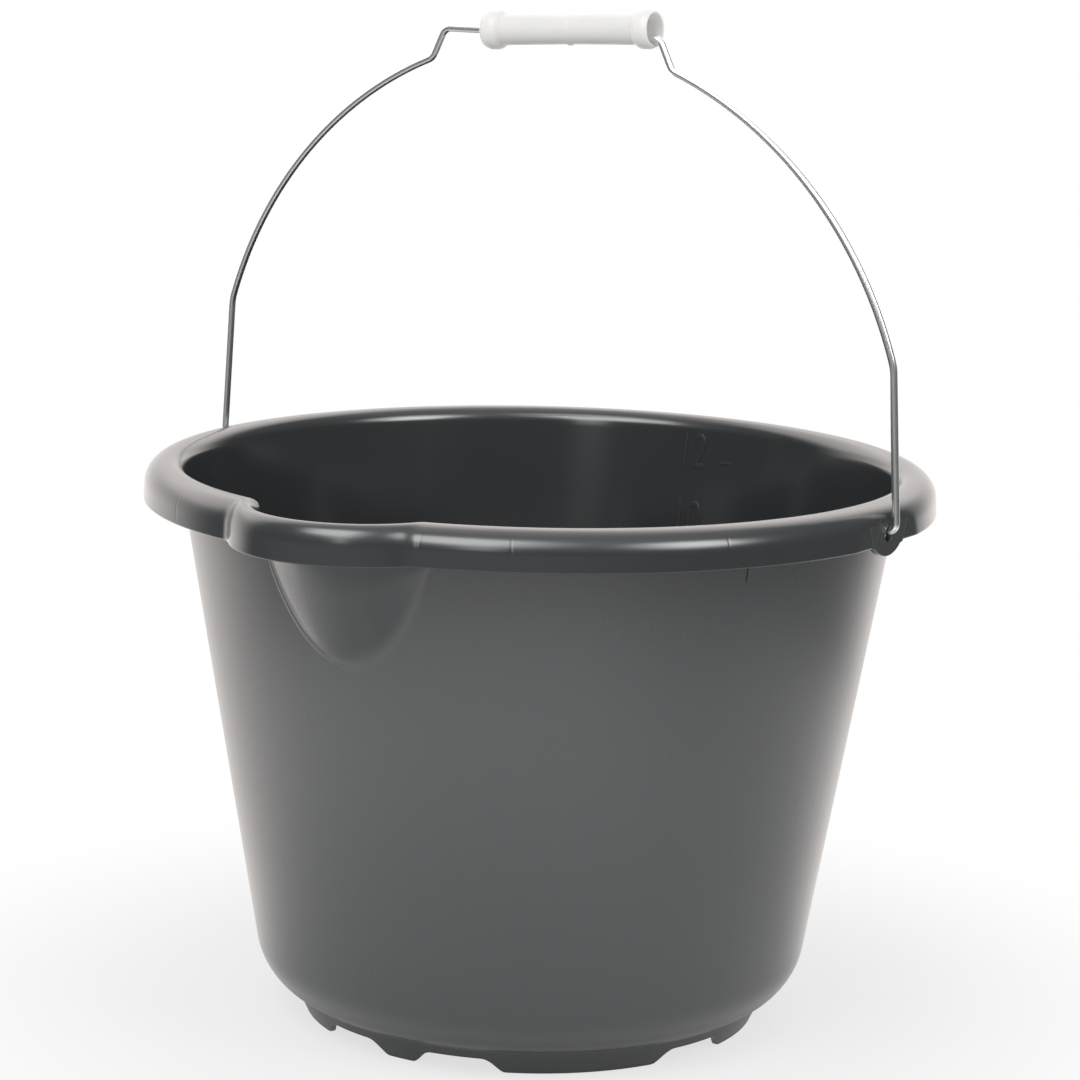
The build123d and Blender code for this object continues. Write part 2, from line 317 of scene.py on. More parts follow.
lip = arc_angles(180 - tilt, 90, 9)
shoulder = arc_angles(90, 0, 13)
hollow = arc_angles(0, 90, 9)
under_lip = arc_angles(90, 180 - tilt, 6)
floor_share = column(0.03, 0.3, 0.65, 0.9, 0.985)
skirt_share = column(0.15, 0.35, 0.65, 0.85, 1)
back_share = column(0, 0.15, 0.35, 0.65, 0.85)
ring_share = column(0.03, 0.09, 0.3, 0.6, 0.85, 1)
ring_back_share = column(0.2, 0.7, 0.96)
underside_share = column(0.97, 0.7, 0.35, 0.05)
under_rim_heights = column(235, 232, 229)
round_turn = arc_angles(22.5, 90, 4)
skirt_span = shoulder_height - edge - edge_round
stretches = {
    "floor": floor_lines(floor_reach * floor_share, floor_top),
    "corner": corner_lines(wall, floor_top, arc_angles(-90, -tilt, 11)),
    "wall": wall_lines(wall, column(np.linspace(corner_top_inside, trough_foot, 8)[1:-1])),
    "trough": [grid[::-1] for grid in trough_lines(wall, trough_top_inside, 0.0)],
    "lip": rim_lines(lip_inward - lip_radius * np.cos(lip), lip_height + lip_radius * np.sin(lip)),
    "shoulder": ear_flat(
        rim_lines(shoulder_inward - shoulder_radius * np.cos(shoulder),
                  shoulder_height + shoulder_radius * np.sin(shoulder)), ear_face),
    "skirt": ear_flat(
        rim_lines(skirt_draft * (1 - skirt_share), shoulder_height - skirt_share * skirt_span), ear_face),
    "edge": (
        outer_edge + (inner_edge - outer_edge) * edge_round / wall * (1 - np.cos(round_turn)),
        edge + edge_round * (1 - np.sin(round_turn))),
    "back_edge": (
        inner_edge + (outer_edge - inner_edge) * edge_round / wall * (1 - np.cos(round_turn[::-1])),
        edge + edge_round * (1 - np.sin(round_turn[::-1]))),
    "back": ear_flat(
        rim_lines(wall + skirt_draft * back_share, shoulder_height - (1 - back_share) * skirt_span),
        ear_face - ear_thickness),
    "hollow": ear_flat(
        rim_lines(shoulder_inward - (shoulder_radius - wall) * np.cos(hollow),
                  shoulder_height + (shoulder_radius - wall) * np.sin(hollow)), ear_face - ear_thickness),
    "under_lip": rim_lines(lip_inward - (lip_radius - wall) * np.cos(under_lip),
                           lip_height + (lip_radius - wall) * np.sin(under_lip)),
    "under_rim": wall_lines(0, under_rim_heights),
    "spout": trough_lines(0, trough_top_outside, ledge_height),
    "outside": wall_lines(0, column(np.linspace(trough_foot, corner_top_outside, 9)[1:-1])),
    "outer_corner": corner_lines(0, floor_underside, arc_angles(-tilt, crease_angle, 11)),
    "ring": (
        ring_out + ring_slope * (crease_height - notch) * (1 - ring_share),
        notch + ring_edge + (crease_height - notch - ring_edge) * (1 - ring_share)),
    "ring_edge": (
        ring_out - ring_edge * (1 - np.cos(round_turn)), notch + ring_edge * (1 - np.sin(round_turn))),
    "ring_back_edge": (
        ring_in + ring_edge * (1 - np.cos(round_turn[::-1])),
        notch + ring_edge * (1 - np.sin(round_turn[::-1]))),
    "ring_back": (
        ring_in + (groove_radius - ring_in) * ring_back_share,
        notch + ring_edge + (groove_height - notch - ring_edge) * ring_back_share),
    "under_corner": corner_lines(0, floor_underside, arc_angles(groove_angle, -90, 4)),
    "underside": floor_lines(floor_reach * underside_share, floor_underside),
}
first_line = dict(zip(stretches, np.cumsum([0] + [len(s[0]) for s in stretches.values()])))
out = np.vstack([s[0] for s in stretches.values()])
up = np.vstack([s[1] for s in stretches.values()])


def skin(points, closed=(False, True), poles=()):
    """Corner points and faces of a grid of points (rows, columns, 3).

    Rows and columns run round where closed says so, and each pole is a point that closes the first or the
    last row with triangles."""
    rows, columns = points.shape[:2]
    index = np.arange(rows * columns).reshape(rows, columns)
    row_next = np.roll(index, -1, 0)
    quads = np.stack([index, np.roll(index, -1, 1), np.roll(row_next, -1, 1), row_next], -1)
    quads = quads[: rows if closed[0] else rows - 1, : columns if closed[1] else columns - 1]
    corners = [points.reshape(-1, 3)]
    fans = []
    for count, (row, pole) in enumerate(poles):
        corners.append(np.asarray(pole, float)[None])
        ring = index[row]
        fans.append(np.stack([ring, np.roll(ring, -1), np.full(columns, rows * columns + count)], -1))
    return np.vstack(corners), quads.reshape(-1, 4), fans


def make_piece(name, corners, faces, finish, sharp=50.0):
    """A smooth-shaded object at the origin, from corners in millimetres, with its faces turned outwards."""
    mesh = bpy.data.meshes.new(name)
    mesh.from_pydata((corners * 0.001).tolist(), [], faces)
    shell = bmesh.new()
    shell.from_mesh(mesh)
    bmesh.ops.recalc_face_normals(shell, faces=shell.faces)
    shell.to_mesh(mesh)
    shell.free()
    mesh.polygons.foreach_set("use_smooth", np.ones(len(mesh.polygons), bool))
    mesh.set_sharp_from_angle(angle=radians(sharp))
    mesh.materials.append(finish)
    piece = bpy.data.objects.new(name, mesh)
    bpy.context.scene.collection.objects.link(piece)
    return piece


def window_loop(lines, columns):
    """Indices of the corners round a window in the grid, from its first line along, down, back and up."""
    index = np.asarray(lines)[:, None] * len(turn) + np.asarray(columns)
    return np.concatenate([index[0, :-1], index[:-1, -1], index[-1, :0:-1], index[:0:-1, 0]])


def ear_hole(corners, side):
    """Faces of one ear around its hole, and the corners that they add.

    Rings of points go from the window in the outer face to the hole, through it, and out to the window in
    the inner face: window + share * (circle - window), all on the same angles about the hole's axis."""
    columns = np.flatnonzero(np.abs(turn - side * pi / 2) < radians(ear_window))
    # each window takes three lines of the arc above and three of the skirt below
    outer_lines = np.arange(first_line["shoulder"] + 10, first_line["skirt"] + 3)
    inner_lines = np.arange(first_line["hollow"] + 2, first_line["back"] + 1, -1)
    outer = window_loop(outer_lines, columns)
    inner = window_loop(inner_lines, columns)
    angle = np.arctan2(corners[outer, 2] - ear_hole_height, corners[outer, 1])

    def circle(face, radius):
        """Points round the hole's axis: radius * (cos, sin) of the window's angles, on one face."""
        return np.stack([
            np.full_like(angle, side * face),
            radius * np.cos(angle),
            ear_hole_height + radius * np.sin(angle)], -1)

    back_face = ear_face - ear_thickness
    wide = ear_hole_radius + ear_hole_edge
    outer_ring = circle(ear_face, wide)
    inner_ring = circle(back_face, wide)
    rings = [
        (corners[outer] + outer_ring) / 2,
        outer_ring,
        circle(ear_face - ear_hole_edge, ear_hole_radius),
        circle(back_face + ear_hole_edge, ear_hole_radius),
        inner_ring,
        (corners[inner] + inner_ring) / 2,
    ]
    count = len(outer)
    added = len(corners) + np.arange(len(rings) * count).reshape(len(rings), count)
    index = np.vstack([outer, added, inner])
    ahead = np.roll(index, -1, 1)
    faces = np.stack([index[:-1], ahead[:-1], ahead[1:], index[1:]], -1).reshape(-1, 4)
    gone = [(lines.min(), lines.max(), columns[0], columns[-1]) for lines in (outer_lines, inner_lines)]
    return np.vstack([corners] + rings), faces, gone


def unit(vector):
    """A vector divided by its length."""
    return vector / np.linalg.norm(vector)


def rounded(corners, bends, steps=8):
    """An open line through corners, with an arc of its bending radius in the place of each inner corner.

    Where the line turns by w from direction a to b, the arc starts bend * tan(w / 2) before the corner, and
    its points are the mean of the arms from its centre weighted by sin((1 - t) w) and sin(t w) over sin w."""
    corners = np.asarray(corners, float)
    line = [corners[:1]]
    for before, corner, after, bend in zip(corners, corners[1:], corners[2:], bends):
        a = unit(corner - before)
        b = unit(after - corner)
        w = np.arccos(np.clip(a @ b, -1, 1))
        if bend == 0:
            line.append(corner[None])
            continue
        centre = corner + unit(b - a) * bend / np.cos(w / 2)
        start = corner - a * bend * np.tan(w / 2) - centre
        end = corner + b * bend * np.tan(w / 2) - centre
        t = np.linspace(0, 1, steps + 1)[:, None]
        line.append(centre + (np.sin((1 - t) * w) * start + np.sin(t * w) * end) / np.sin(w))
    return np.vstack(line + [corners[-1:]])


def ear_plate(side):
    """The plate on one ear as closed loops round its hole: back, bore, face and rim.

    Half its outline is a slanting side between two corners and a bow, bottom + radius * (1 - cos a), and the
    other half mirrors it. The outline is cut into equal steps, and each loop uses the same angles."""
    swing = np.linspace(np.arcsin(plate_half_bow / plate_bow), 0, 9)
    bow = np.stack([plate_bow * np.sin(swing), plate_bottom + plate_bow * (1 - np.cos(swing))], -1)
    half = rounded(
        [(0, plate_top), (plate_half_top, plate_top), (plate_half_foot, plate_foot), *bow],
        plate_bends + [0] * (len(bow) - 1), 4)
    whole = np.vstack([half, half[-2::-1] * [-1, 1]])
    along = np.concatenate([[0], np.cumsum(np.linalg.norm(np.diff(whole, axis=0), axis=1))])
    steps = np.linspace(0, along[-1], 160, endpoint=False)
    flat = np.stack([np.interp(steps, along, whole[:, 0]), np.interp(steps, along, whole[:, 1])], -1)
    arm = flat - [0, ear_hole_height]
    reach = np.linalg.norm(arm, axis=1, keepdims=True)

    def loop(depth, lengths):
        """Directions from the hole to the outline times some lengths, at one depth."""
        ring = arm / reach * lengths
        return np.stack([np.full(len(ring), side * depth), ring[:, 0], ear_hole_height + ring[:, 1]], -1)

    bore = ear_hole_radius + plate_bore_gap
    return np.stack([
        loop(plate_back, bore),
        loop(plate_face - plate_bevel, bore),
        loop(plate_face, bore + plate_bevel),
        loop(plate_face, bore + 2 * plate_bevel),
        loop(plate_face, reach - 2 * plate_bevel),
        loop(plate_face, reach - plate_bevel),
        loop(plate_face - plate_bevel, reach),
        loop(plate_back, reach)])


def web_slab(angle):
    """Corners of one upright web under the rim: a flat outline inside the shell's thickness, made thick.

    The outline follows the middle of the wall, the lip's arc, the shoulder's arc and the skirt, and comes
    down the wall again as a low rib."""
    lip_arm = (lip_radius - wall / 2) * sqrt(0.5)
    shoulder_arm = (shoulder_radius - wall / 2) * sqrt(0.5)
    foot = rim_radius - wall_ground_radius - wall_slope * web_foot
    rib_top = rim_radius - wall_ground_radius - wall_slope * web_rib_top
    outline = np.array([
        (foot + wall / 2, web_foot),
        (lip_inward + lip_radius - wall / 2, lip_height),
        (lip_inward + lip_arm, lip_height + lip_arm),
        (lip_inward, bucket_height - wall / 2),
        (shoulder_inward - shoulder_arm, shoulder_height + shoulder_arm),
        (wall / 2, shoulder_height),
        (wall / 2, web_skirt_foot),
        (rib_top - web_rib, web_rib_top),
        (foot - web_rib, web_foot + web_rib)])
    outward = np.array([sin(radians(angle)), -cos(radians(angle)), 0])
    along = np.array([cos(radians(angle)), sin(radians(angle)), 0])
    flat = (rim_radius - outline[:, :1]) * outward + outline[:, 1:] * np.array([0, 0, 1])
    return np.stack([flat - along * web_thickness / 2, flat + along * web_thickness / 2])


class Signal:
    """One value in a node tree. Sums on signals add Math nodes, and node() adds any other node."""

    def __init__(self, tree, socket=None):
        self.tree = tree
        self.socket = socket

    def node(self, kind, settings=None, values=None, output=0):
        """Adds a node of a kind with its settings and returns one of its outputs.

        The values go into its sockets: numbers are set there, and signals are linked."""
        made = self.tree.nodes.new(kind)
        for name, setting in (settings or {}).items():
            setattr(made, name, setting)
        for name, value in (values or {}).items():
            if isinstance(value, Signal):
                self.tree.links.new(value.socket, made.inputs[name])
            else:
                made.inputs[name].default_value = value
        return Signal(self.tree, made.outputs[output] if len(made.outputs) else None)

    def maths(self, operation, first, second=0.0):
        """A Math node on two values."""
        return self.node("ShaderNodeMath", {"operation": operation}, {0: first, 1: second})

    def __add__(self, other):
        return self.maths("ADD", self, other)

    def __radd__(self, other):
        return self.maths("ADD", other, self)

    def __sub__(self, other):
        return self.maths("SUBTRACT", self, other)

    def __rsub__(self, other):
        return self.maths("SUBTRACT", other, self)

    def __mul__(self, other):
        return self.maths("MULTIPLY", self, other)

    def __rmul__(self, other):
        return self.maths("MULTIPLY", other, self)

    def __truediv__(self, other):
        return self.maths("DIVIDE", self, other)

    def __pow__(self, other):
        return self.maths("POWER", self, other)

    def __abs__(self):
        return self.maths("ABSOLUTE", self)

    def noise(self, waves, detail):
        """Even noise from 0 to 1 on this place, in waves per metre."""
        return self.node("ShaderNodeTexNoise", values={"Vector": self, "Scale": waves, "Detail": detail})

    def stretched(self, x, y, z):
        """This place with its three directions stretched."""
        return self.node("ShaderNodeMapping", values={"Vector": self, "Scale": (x, y, z)})

    def step(self, low, high, start=0.0, end=1.0):
        """A smooth rise from start to end as this value goes from low to high."""
        return self.node("ShaderNodeMapRange", {"interpolation_type": "SMOOTHSTEP"}, {
            "Value": self, "From Min": low, "From Max": high, "To Min": start, "To Max": end})

    def tint(self, dark, light):
        """A colour between two, by this value."""
        return self.node("ShaderNodeMix", {"data_type": "RGBA"}, {0: self, 6: (*dark, 1), 7: (*light, 1)}, 2)

    def bump(self, height_mm):
        """A surface normal from this value as a height, so many millimetres high at 1."""
        return self.node("ShaderNodeBump", values={"Height": self, "Distance": height_mm * 0.001})


def new_finish(name):
    """An empty material, its shader and the place on the piece to start from."""
    finish = bpy.data.materials.new(name)
    finish.use_nodes = True
    tree = finish.node_tree
    place = Signal(tree).node("ShaderNodeTexCoord", output="Object")
    return finish, tree.nodes["Principled BSDF"], place


def feed(shader, **signals):
    """Links signals to a shader's sockets, whose names are written with _ for a space."""
    for name, signal in signals.items():
        signal.tree.links.new(signal.socket, shader.inputs[name.replace("_", " ")])


def graphite():
    """Graphite polypropylene: satin outside, polished on the rim and inside, with faint flow marks."""
    finish, shader, place = new_finish("graphite_polypropylene")
    polish = place.node("ShaderNodeAttribute", {"attribute_name": "polish"}, output="Fac")
    flow = place.stretched(1, 1, flow_stretch).noise(flow_waves, 3)
    cloud = place.noise(cloud_waves, 3)
    feed(shader, Base_Color=(flow * 0.5 + cloud * 0.5).tint(graphite_dark, graphite_light))
    skin_roughness = satin_roughness - polish * polish_gain
    feed(shader, Roughness=skin_roughness + flow * flow_roughness + cloud * cloud_roughness)
    x, y, z = (place.node("ShaderNodeSeparateXYZ", values={0: place}, output=axis) for axis in "XYZ")
    angle = place.maths("ARCTAN2", x, 0 - y)
    on_rim = polish * z.step((skirt_edge - weld_start) * 0.001, (skirt_edge + weld_start) * 0.001)
    weld = 0.0
    for middle in weld_turns:
        weld = weld + (abs(angle - radians(middle)) * rim_radius).step(*weld_half_width, 1.0, 0.0)
    feed(shader, Normal=(flow * flow_height - weld * on_rim * weld_depth).bump(1.0))
    shader.inputs["Specular IOR Level"].default_value = graphite_gloss
    return finish


places = np.stack([out * np.sin(turn), -out * np.cos(turn), up], -1)
corners, quads, fans = skin(places, poles=[(0, (0, 0, floor_top)), (-1, (0, 0, floor_underside))])
body_faces = []
kept = np.ones((len(places) - 1, len(turn)), bool)
for side in (1, -1):
    corners, hole_faces, windows = ear_hole(corners, side)
    body_faces += hole_faces.tolist()
    for low, high, left, right in windows:
        kept[low:high, left:right] = False
body_faces += quads[kept.ravel()].tolist()
for fan in fans:
    body_faces += fan.tolist()
for side in (1, -1):
    plate_corners, plate_faces, _ = skin(ear_plate(side), closed=(True, True))
    body_faces += (plate_faces + len(corners)).tolist()
    corners = np.vstack([corners, plate_corners])
for angle in web_turns:
    slab = web_slab(angle)
    start = len(corners)
    points = slab.shape[1]
    rim_of_web = np.arange(points)
    ahead = np.roll(rim_of_web, -1)
    corners = np.vstack([corners, slab.reshape(-1, 3)])
    body_faces += [(start + rim_of_web).tolist(), (start + points + rim_of_web[::-1]).tolist()]
    body_faces += (start + np.stack(
        [rim_of_web, ahead, points + ahead, points + rim_of_web], -1)).tolist()
body = make_piece("bucket_shell", corners, body_faces, graphite())
polished = np.zeros(len(corners), np.float32)
line_polish = np.concatenate([
    np.ones(first_line["lip"]),
    np.linspace(1, top_polish, len(lip)),
    np.linspace(top_polish, skirt_polish, len(shoulder)),
    np.full(len(skirt_share), skirt_polish)])
polished[: len(line_polish) * len(turn)] = np.repeat(line_polish, len(turn))
body.data.attributes.new("polish", "FLOAT", "POINT").data.foreach_set("value", polished)
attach(body, "bucket")
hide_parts("bucket_body")

# Litre scale
# Numbers and short ticks that stand 0.3 mm proud inside the bucket, engraved in the mould's core,
# so they are the same plastic as the wall.
digit_height = 16.6
digit_narrow = 0.66          # width of the letters against their font's
digit_thin = 0.25            # taken off each side of a stroke
digit_proud = 0.3
digit_bevel = 0.15
digit_font_scale = 1.4       # size of the font for each mm of a digit's height
digit_turn = 184.4           # where a number's middle stands, from the pouring lip towards +X
tick_turn = 177.6
tick_length = 5.5
tick_width = 1.1
tick_squareness = 0.35       # power of the waves in its outline: 1 is an ellipse, 0 a box
litre_ticks = {12: 223.5, 10: 194.5, 8: 164.3, 6: 132.0, 4: 97.0, 2: 58.5}
digit_rise = {12: 3.6, 10: 1.2}   # from a tick up to its number's middle, where it isn't level


def on_inner_wall(flat, middle_turn, level):
    """Points drawn flat as (right, up, proud), wrapped on the inside of the cone.

    The angle is the middle's less right / radius, and the radius follows the wall less what stands proud."""
    height = level + flat[:, 1] * cos(lean)
    radius = wall_ground_radius + wall_slope * height - wall / cos(lean) - flat[:, 2]
    angle = radians(middle_turn) - flat[:, 0] / radius
    return np.stack([radius * np.sin(angle), -radius * np.cos(angle), height + flat[:, 2] * sin(lean)], -1)


def digits_flat(words):
    """Corners in millimetres and faces of a number in plain letters, centred, with a small bevel."""
    letters = bpy.data.curves.new("digits", "FONT")
    letters.body = words
    letters.align_x = "CENTER"
    letters.align_y = "CENTER"
    letters.size = digit_height * digit_font_scale
    letters.offset = -digit_thin
    letters.extrude = digit_proud - digit_bevel
    letters.bevel_depth = digit_bevel
    drawn = bpy.data.objects.new("digits", letters)
    mesh = bpy.data.meshes.new_from_object(drawn)
    flat = np.empty(len(mesh.vertices) * 3)
    mesh.vertices.foreach_get("co", flat)
    faces = [tuple(face.vertices) for face in mesh.polygons]
    bpy.data.objects.remove(drawn)
    return flat.reshape(-1, 3) * [digit_narrow, 1, 1], faces


def tick_flat():
    """A pillow with square ends: its half lengths times powers of the waves of a sphere's two angles."""
    around = np.linspace(0, 2 * pi, 24, endpoint=False)[None, :]
    down = np.linspace(-pi / 2, pi / 2, 9)[1:-1, None]

    def power(wave):
        """|wave| to the power of the squareness, with the wave's sign."""
        return np.sign(wave) * np.abs(wave) ** tick_squareness

    grid = np.stack([
        tick_length / 2 * power(np.cos(down)) * power(np.cos(around)),
        tick_width / 2 * power(np.cos(down)) * power(np.sin(around)),
        digit_proud * power(np.sin(down)) + 0 * around], -1)
    corners, quads, fans = skin(grid, poles=[(0, (0, 0, -digit_proud)), (-1, (0, 0, digit_proud))])
    return corners, quads.tolist() + fans[0].tolist() + fans[1].tolist()


scale_corners = np.empty((0, 3))
scale_faces = []
for litres, level in litre_ticks.items():
    number = digits_flat(str(litres)), digit_turn, level + digit_rise.get(litres, 0)
    tick = tick_flat(), tick_turn, level
    for (flat, faces), middle, height in (number, tick):
        start = len(scale_corners)
        scale_corners = np.vstack([scale_corners, on_inner_wall(flat, middle, height)])
        scale_faces += [[start + corner for corner in face] for face in faces]
scale = make_piece("litre_scale", scale_corners, scale_faces, body.data.materials[0], sharp=35.0)
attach(scale, "bucket")

# Wire bail
# Round steel wire of 3.2 mm with bright zinc plate, bent cold in one plane: a straight top for the grip,
# two cranks, two big bows, and ends that pass through the ears and turn up inside the rim.
wire_radius = 1.6
pivot_height = 232.6
leg_foot_x = 172.5
leg_top = (168.3, 299.8)
bow_middle = (129.5, 367.0)
bow_end = (60.0, 413.9)
crank_top = (53.8, 426.8)
crank_upper_bend = 4.5
crank_lower_bend = 6.0
leg_bend = 22.0
ear_bend = 3.6
hook_x = 158.6
hook_top = 238.0
hook_bend = 3.0
dome_length = 0.8            # of the domed ends
dome_step = 0.3              # from a dome's end to the next line round it
dome_tip = 0.9               # share of the dome that is left, so that it ends in a small flat
zinc_dark = (0.80, 0.83, 0.835)
zinc_light = (0.88, 0.89, 0.88)
zinc_roughness = 0.27
zinc_patch_waves = 60        # per metre, of its duller patches
zinc_patch_roughness = 0.06


def arc_through(start, middle, end, count):
    """Points on the circle through three points, from the first to the last."""
    start, middle, end = (np.asarray(p, float) for p in (start, middle, end))
    sides = 2 * np.array([middle - start, end - start])
    centre = np.linalg.solve(sides, [middle @ middle - start @ start, end @ end - start @ start])
    angles = [np.arctan2(*(p - centre)[::-1]) for p in (start, end)]
    sweep = np.linspace(angles[0], angles[1], count)[:, None]
    return centre + np.linalg.norm(start - centre) * np.hstack([np.cos(sweep), np.sin(sweep)])


def tube(line, radius, sides=24):
    """A round wire along a line in the XZ plane: line + swell * (cos a * across + sin a * Y).

    The swell is the radius, but near a domed end radius * sqrt(1 - (1 - distance / dome_length)^2)."""
    ahead = np.gradient(line, axis=0)
    ahead /= np.linalg.norm(ahead, axis=1, keepdims=True)
    along = np.concatenate([[0], np.cumsum(np.linalg.norm(np.diff(line, axis=0), axis=1))])
    from_end = np.minimum(along, along[-1] - along)
    swell = radius * np.sqrt(1 - np.clip(1 - from_end / dome_length, 0, dome_tip) ** 2)
    a = np.linspace(0, 2 * pi, sides, endpoint=False)[None, :]
    x = line[:, :1] - swell[:, None] * np.cos(a) * ahead[:, 1:]
    z = line[:, 1:] + swell[:, None] * np.cos(a) * ahead[:, :1]
    grid = np.stack([x, swell[:, None] * np.sin(a), z], -1)
    ends = [(0, (line[0, 0], 0, line[0, 1])), (-1, (line[-1, 0], 0, line[-1, 1]))]
    corners, quads, fans = skin(grid, poles=ends)
    return corners, quads.tolist() + fans[0].tolist() + fans[1].tolist()


def zinc_plate():
    """Bright zinc on drawn wire, with duller patches and a faint change from blue to grey."""
    finish, shader, place = new_finish("bright_zinc")
    patch = place.noise(zinc_patch_waves, 3)
    feed(shader, Base_Color=patch.tint(zinc_dark, zinc_light))
    feed(shader, Roughness=zinc_roughness + patch * zinc_patch_roughness)
    shader.inputs["Metallic"].default_value = 1.0
    return finish


bow = arc_through(leg_top, bow_middle, bow_end, 49)
half_corners = [
    (hook_x, hook_top),
    (hook_x, pivot_height),
    (leg_foot_x, pivot_height),
    *bow,
    crank_top,
    (0, crank_top[1])]
half_bends = [hook_bend, ear_bend, leg_bend] + [0] * (len(bow) - 2) + [crank_lower_bend, crank_upper_bend]
half_line = rounded(half_corners, half_bends)
dome_lines = half_line[:1] - [[0, 0], [0, dome_step], [0, dome_length]]
half_line = np.vstack([dome_lines, half_line[1:]])
whole_line = np.vstack([half_line, half_line[-2::-1] * [-1, 1]])
wire_corners, wire_faces = tube(whole_line, wire_radius)
bail = make_piece("zinc_bail", wire_corners, wire_faces, zinc_plate())
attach(bail, "bail")
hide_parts("wire_bail")

# Hand grip
# A loose tube of off-white polyethylene that spins on the wire: a collar at each end, a flared bore,
# a raised ring where the two cores met and the gate's stub under it.
grip_half = 41.5
grip_centre = (10.0, 0.0, 428.9)
grip_tilt = 2.6              # rising towards +X
grip_middle_radius = 6.2
grip_end_radius = 6.5
collar_radius = 8.3
collar_length = 6.4
collar_round = 4.0           # rounding of a collar's two edges
collar_taper = (2.2, 0.8)    # run and drop towards the collar's end
seam_radius = 6.36
seam_half_width = 1.0
bore_middle_radius = 4.7
bore_end_radius = 5.3
funnel_start = 31.0
funnel_radius = 6.1
funnel_break = 34.5
mouth_radius = 6.7
outline_bends = [2.0, 2.0, 0.4, 0.6, collar_round, collar_round, 0.8, 1.0, 1.0]   # from the bore to the seam
gate_root = 6.0              # from the grip's axis to the stub's foot inside the tube
gate_radius = 1.2
gate_height = 0.25
gate_flat = 0.3              # radius of the flat on its end
gate_round = 0.25
milk_dark = (0.83, 0.82, 0.805)
milk_light = (0.86, 0.85, 0.835)
milk_roughness = 0.36
milk_cloud_waves = 45        # per metre, of its faint clouds
milk_cloud_roughness = 0.08
milk_mark_waves = 1400       # per metre, of the fine marks in its skin,
milk_mark_stretch = 0.2      # which run along the grip
milk_mark_height = 0.012
milk_share = 0.6             # of the light that goes into the plastic,
milk_depth = 0.003           # and how far, in metres


def on_grip(points):
    """Points along the grip's own axis, tilted and moved to where it lies on the wire."""
    c, s = cos(radians(grip_tilt)), sin(radians(grip_tilt))
    return points @ np.array([[c, 0, s], [0, 1, 0], [-s, 0, c]]) + np.array(grip_centre)


def milk_plastic():
    """Off-white polyethylene: it lets a little light in, is faintly cloudy and has a fine dull skin."""
    finish, shader, place = new_finish("off_white_polyethylene")
    cloud = place.noise(milk_cloud_waves, 2)
    skin_marks = place.stretched(milk_mark_stretch, 1, 1).noise(milk_mark_waves, 2)
    feed(shader, Base_Color=cloud.tint(milk_dark, milk_light))
    feed(shader, Roughness=milk_roughness + cloud * milk_cloud_roughness)
    feed(shader, Normal=skin_marks.bump(milk_mark_height))
    shader.inputs["Subsurface Weight"].default_value = milk_share
    shader.inputs["Subsurface Radius"].default_value = (1.0, 1.0, 1.0)
    shader.inputs["Subsurface Scale"].default_value = milk_depth
    return finish


neck = grip_half - collar_length
half_outline = rounded([
    (0, bore_middle_radius),
    (funnel_start, bore_end_radius),
    (funnel_break, funnel_radius),
    (grip_half, mouth_radius),
    (grip_half, collar_radius - collar_taper[1]),
    (grip_half - collar_taper[0], collar_radius),
    (neck, collar_radius),
    (neck - collar_radius + grip_end_radius, grip_end_radius),
    (2 * seam_half_width, grip_middle_radius),
    (seam_half_width, seam_radius),
    (0, seam_radius),
], outline_bends, steps=5)
outline = np.vstack([half_outline, half_outline[-2:0:-1] * [-1, 1]])
spin = np.linspace(0, 2 * pi, 96, endpoint=False)[None, :]
tube_grid = np.stack([
    outline[:, :1] + 0 * spin,
    outline[:, 1:] * np.sin(spin),
    outline[:, 1:] * np.cos(spin)], -1)
grip_corners, grip_quads, _ = skin(tube_grid, closed=(True, True))
gate_end = seam_radius + gate_height
stub = rounded([(gate_radius, gate_root), (gate_radius, gate_end), (gate_flat, gate_end)], [gate_round], 4)
stub_spin = np.linspace(0, 2 * pi, 20, endpoint=False)[None, :]
stub_grid = np.stack([
    stub[:, :1] * np.cos(stub_spin), stub[:, :1] * np.sin(stub_spin), -stub[:, 1:] + 0 * stub_spin], -1)
stub_corners, stub_quads, stub_fans = skin(
    stub_grid, poles=[(0, (0, 0, -gate_root)), (-1, (0, 0, -gate_end))])
start = len(grip_corners)
grip_faces = grip_quads.tolist() + (stub_quads + start).tolist()
for fan in stub_fans:
    grip_faces += (fan + start).tolist()
grip_corners = on_grip(np.vstack([grip_corners, stub_corners]))
grip = make_piece("white_grip", grip_corners, grip_faces, milk_plastic())
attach(grip, "grip")
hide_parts("hand_grip")

# Studio and camera, in metres
# A round sheet of white paper under two soft boxes, which glows for reflections with a painted sheen and a
# painted shadow at the bucket's foot, white surroundings that are dim on the camera's side and bright behind
# and above, and a long lens at the photograph's height and turn.
camera_turn = 32.5           # degrees from the pouring lip towards +X
camera_height = 10.635       # degrees above the horizon
camera_roll = 1.307          # degrees
camera_distance = 1.540      # from the point that it looks at
camera_target = Vector((0, 0, 0.2088))
camera_reach = 50.0
camera_lens = 118.06         # millimetres
camera_sensor = 36.0         # millimetres
camera_shift = (0.0008, -0.0006)
lamp_target = Vector((0, 0, 0.2))
left_box_place = (-0.57, 0.89, 1.32)   # to the camera's right, towards it and up
left_box_size = (0.97, 0.73)
left_box_watts = 6.5
right_box_place = (1.00, 0.85, 1.20)
right_box_size = (0.50, 0.55)
right_box_watts = 3.5
floor_radius = 0.75
paper_waves = 3              # per metre, of a faint change in the paper's white
paper_dark = (0.88, 0.88, 0.88)
paper_light = (0.90, 0.90, 0.90)
white = (1.0, 1.0, 1.0)
warm_white = (1.0, 0.945, 0.92)

